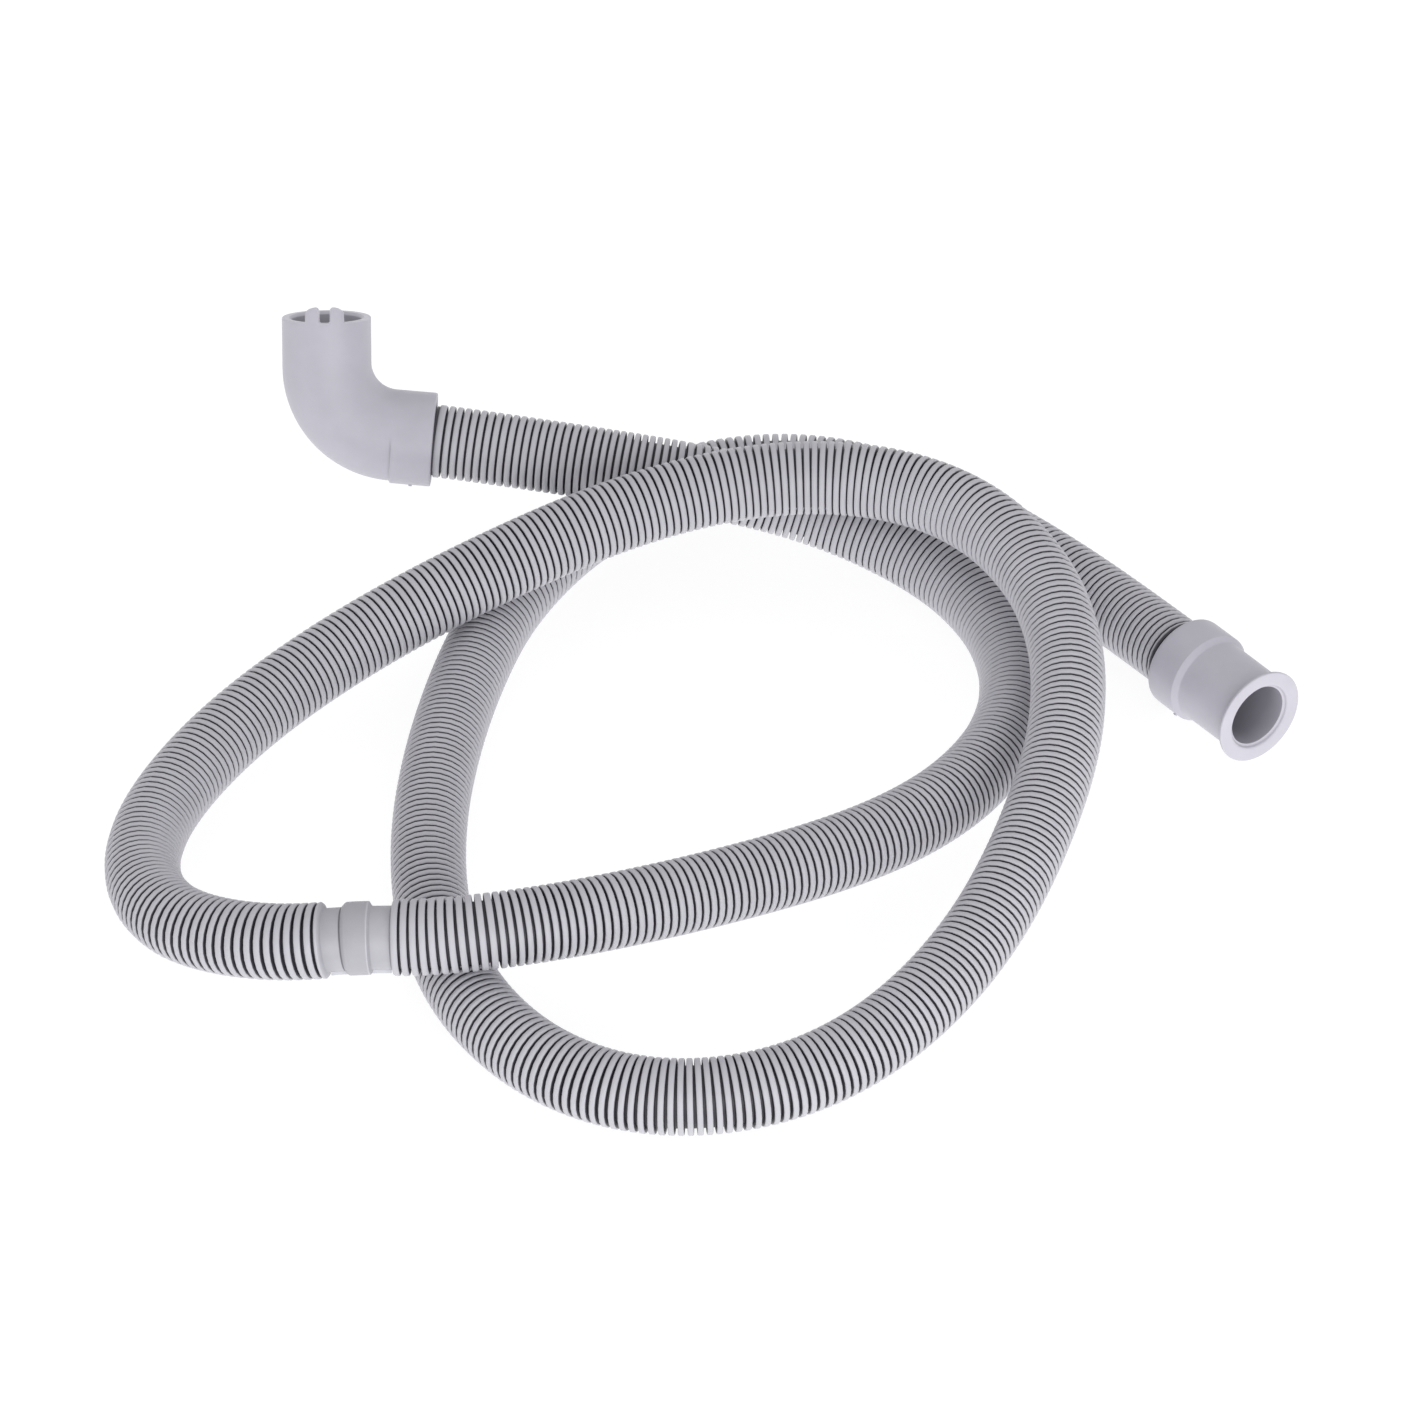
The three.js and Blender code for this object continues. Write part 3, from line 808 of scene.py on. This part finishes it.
def fitting_shade(length, radius):
    """The shade attribute of each point of the section: painted shade in the bore, a painted highlight on the
    flange and in its recess."""
    depth = FITTING_LENGTH - LIP_DEPTH - length
    deeper = smooth_step(depth / BORE_SHADE_REACH)
    in_bore = radius < FITTING_BORE_R + 0.05
    shade = np.where(in_bore, BORE_SHADE + BORE_SHADE_MORE * deeper, 0)
    on_flange = (length > FITTING_LENGTH - 0.45) & (radius > LIP_R)
    in_recess = (depth > -LIP_DEPTH - 1) & (depth < 0.2) & (radius < LIP_R + 0.2) & ~in_bore
    return np.where(on_flange | in_recess, FLANGE_PAINTED_HIGHLIGHT, shade)


def make_fitting():
    """The straight fitting as one closed grid: s along the hose's last direction, and r * cos a and r * sin a
    square to it, with the block of its gate."""
    profile = fitting_profile()
    angle = np.linspace(0, 2 * np.pi, FITTING_SIDES, endpoint=False)
    s = profile[:, 0, None] - FITTING_GRIP
    r = profile[:, 1, None]
    local = np.stack([s + 0 * angle, r * np.cos(angle), r * np.sin(angle)], -1).reshape(-1, 3)
    out = np.array([0, np.cos(FITTING_NUB_ANGLE), np.sin(FITTING_NUB_ANGLE)])
    foot = np.array([FITTING_NUB_AT - FITTING_GRIP, 0, 0]) + SLEEVE_R * out
    nub_corners, nub_faces = nub(foot, np.array([1.0, 0, 0]), out)
    origin, axes = frame_at_end(route.length)
    vertices = origin + (np.concatenate([local, nub_corners]) * MM) @ axes.T
    faces = outward(vertices, ring_faces(len(profile), FITTING_SIDES))
    faces = np.concatenate([faces, nub_faces + len(local)])
    fitting = mesh_object("flanged_fitting", vertices, faces, sharp_angle=50)
    shade = np.repeat(fitting_shade(*profile.T), FITTING_SIDES)
    shade = np.concatenate([shade, np.full(len(nub_corners), FITTING_NUB_PAINTED_LIGHT)])
    set_attribute(fitting, "shade", shade)
    return fitting


# Materials


def node_material(name):
    """A new material with a Principled BSDF, and its parts, as (material, nodes, links, shader)."""
    material = bpy.data.materials.new(name)
    material.use_nodes = True
    nodes = material.node_tree.nodes
    return material, nodes, material.node_tree.links, nodes["Principled BSDF"]


def noise(nodes, links, position, scale, detail):
    """The value of a noise texture at a position, with its scale from a socket."""
    node = nodes.new("ShaderNodeTexNoise")
    node.inputs["Detail"].default_value = detail
    links.new(position, node.inputs["Vector"])
    links.new(scale, node.inputs["Scale"])
    return node.outputs["Fac"]


def map_range(nodes, links, value, low, high, to_low, to_high):
    """A value carried linearly from one range to another and held at its ends."""
    node = nodes.new("ShaderNodeMapRange")
    for name, number in (("From Min", low), ("From Max", high), ("To Min", to_low), ("To Max", to_high)):
        node.inputs[name].default_value = number
    links.new(value, node.inputs["Value"])
    return node.outputs["Result"]


def moulded_surface():
    """A node group for moulded plastic: a soft mottle as a factor on the colour, the roughness that goes with
    it, and the normal of a fine grain, all over Object coordinates."""
    group = bpy.data.node_groups.new("moulded_surface", "ShaderNodeTree")
    for name in ("Mottle Scale", "Grain Scale"):
        group.interface.new_socket(name, in_out="INPUT", socket_type="NodeSocketFloat")
    for name, kind in (("Mottle", "Float"), ("Roughness", "Float"), ("Normal", "Vector")):
        group.interface.new_socket(name, in_out="OUTPUT", socket_type="NodeSocket" + kind)
    nodes, links = group.nodes, group.links
    scales = nodes.new("NodeGroupInput").outputs
    out = nodes.new("NodeGroupOutput").inputs
    position = nodes.new("ShaderNodeTexCoord").outputs["Object"]
    clouds = noise(nodes, links, position, scales["Mottle Scale"], MOTTLE_DETAIL)
    grain = noise(nodes, links, position, scales["Grain Scale"], GRAIN_DETAIL)
    links.new(map_range(nodes, links, clouds, *MOTTLE_SPAN, *MOTTLE_COLOR), out["Mottle"])
    links.new(map_range(nodes, links, clouds, *MOTTLE_SPAN, *MOTTLE_ROUGHNESS), out["Roughness"])
    bump = nodes.new("ShaderNodeBump")
    bump.inputs["Strength"].default_value = GRAIN_STRENGTH
    bump.inputs["Distance"].default_value = GRAIN_HEIGHT
    links.new(grain, bump.inputs["Height"])
    links.new(bump.outputs["Normal"], out["Normal"])
    return group


surface_group = moulded_surface()


def moulded_material(name, attribute, stops):
    """A material whose colour follows a vertex attribute through (position, colour) stops, times the mottle
    of the moulded surface, with that surface's roughness and grain."""
    material, nodes, links, shader = node_material(name)
    value = nodes.new("ShaderNodeAttribute")
    value.attribute_name = attribute
    ramp = nodes.new("ShaderNodeValToRGB")
    position = map_range(nodes, links, value.outputs["Fac"], SHADE_LOW, SHADE_HIGH, 0.0, 1.0)
    links.new(position, ramp.inputs["Fac"])
    elements = ramp.color_ramp.elements
    elements[0].position, elements[0].color = stops[0]
    elements[1].position, elements[1].color = stops[-1]
    for place, color in stops[1:-1]:
        elements.new(place).color = color
    surface = nodes.new("ShaderNodeGroup")
    surface.node_tree = surface_group
    surface.inputs["Mottle Scale"].default_value = MOTTLE_SCALE
    surface.inputs["Grain Scale"].default_value = GRAIN_SCALE
    mottled = nodes.new("ShaderNodeVectorMath")
    mottled.operation = "SCALE"
    links.new(surface.outputs["Mottle"], mottled.inputs["Scale"])
    links.new(ramp.outputs["Color"], mottled.inputs["Vector"])
    links.new(mottled.outputs["Vector"], shader.inputs["Base Color"])
    links.new(surface.outputs["Roughness"], shader.inputs["Roughness"])
    links.new(surface.outputs["Normal"], shader.inputs["Normal"])
    return material


def hose_plastic():
    """Grey-violet plastic with painted shade in its grooves and a painted highlight on its flash."""
    stops = [
        (HIGHLIGHT_STOP, HOSE_HIGHLIGHT_COLOR),
        (PLAIN_STOP, HOSE_COLOR),
        (GROOVE_STARTS_STOP, HOSE_COLOR),
        (GROOVE_STOP, GROOVE_SHADE_COLOR),
        (DARK_STOP, GROOVE_SHADE_COLOR),
    ]
    return moulded_material("hose_plastic", "depth", stops)


def fitting_rubber():
    """Smooth grey-violet moulded rubber, with painted shade inside its bores and painted highlights on its
    rims, flange and gate blocks.
    """
    stops = [(HIGHLIGHT_STOP, RIM_HIGHLIGHT_COLOR), (PLAIN_STOP, FITTING_COLOR), (DARK_STOP, INSIDE_SHADE_COLOR)]
    return moulded_material("fitting_rubber", "shade", stops)


# Stage


def make_floor():
    """A white floor that lights the object from below like a light table, and that the camera sees as plain
    white with the object's faint shadow."""
    corners = FLOOR_SIZE * np.array([(-1, -1, 0), (1, -1, 0), (1, 1, 0), (-1, 1, 0)])
    floor = mesh_object("floor", corners, [(0, 1, 2, 3)], smooth=False)
    material, nodes, links, shader = node_material("floor_white")
    nodes.remove(shader)
    table = nodes.new("ShaderNodeEmission")
    table.inputs["Strength"].default_value = FLOOR_LIGHT
    glow = nodes.new("ShaderNodeEmission")
    glow.inputs["Strength"].default_value = FLOOR_GLOW
    faint = nodes.new("ShaderNodeBsdfDiffuse")
    faint.inputs["Color"].default_value = (FLOOR_SHADOW, FLOOR_SHADOW, FLOOR_SHADOW, 1)
    both = nodes.new("ShaderNodeAddShader")
    links.new(glow.outputs["Emission"], both.inputs[0])
    links.new(faint.outputs["BSDF"], both.inputs[1])
    seen = nodes.new("ShaderNodeLightPath")
    mix = nodes.new("ShaderNodeMixShader")
    links.new(seen.outputs["Is Camera Ray"], mix.inputs["Fac"])
    links.new(table.outputs["Emission"], mix.inputs[1])
    links.new(both.outputs["Shader"], mix.inputs[2])
    links.new(mix.outputs["Shader"], nodes["Material Output"].inputs["Surface"])
    floor.data.materials.append(material)


def add_area_light(name, location, target, size, power):
    """A square soft box that faces its target."""
    data = bpy.data.lights.new(name, "AREA")
    data.size = size
    data.energy = power
    light = bpy.data.objects.new(name, data)
    light.location = location
    light.rotation_euler = (Vector(target) - Vector(location)).to_track_quat("-Z", "Y").to_euler()
    bpy.context.scene.collection.objects.link(light)


def add_world(strength):
    """Even white light from all round."""
    world = bpy.data.worlds.new("studio")
    bpy.context.scene.world = world
    world.use_nodes = True
    background = world.node_tree.nodes["Background"]
    background.inputs["Color"].default_value = (1, 1, 1, 1)
    background.inputs["Strength"].default_value = strength


add_camera()
hose = make_hose()
elbow = make_elbow()
fitting = make_fitting()

hose.data.materials.append(hose_plastic())
rubber = fitting_rubber()
for piece in (elbow, fitting):
    piece.data.materials.append(rubber)

for piece, node, material_slot in (
    (hose, "corrugated_hose", "hose"),
    (elbow, "elbow_fitting", "fitting"),
    (fitting, "straight_fitting", "fitting"),
):
    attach(piece, "root")
    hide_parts(node)

make_floor()
add_world(WORLD_LIGHT)
for lamp in LAMPS:
    add_area_light(*lamp)
bpy.context.scene.view_settings.view_transform = "Standard"
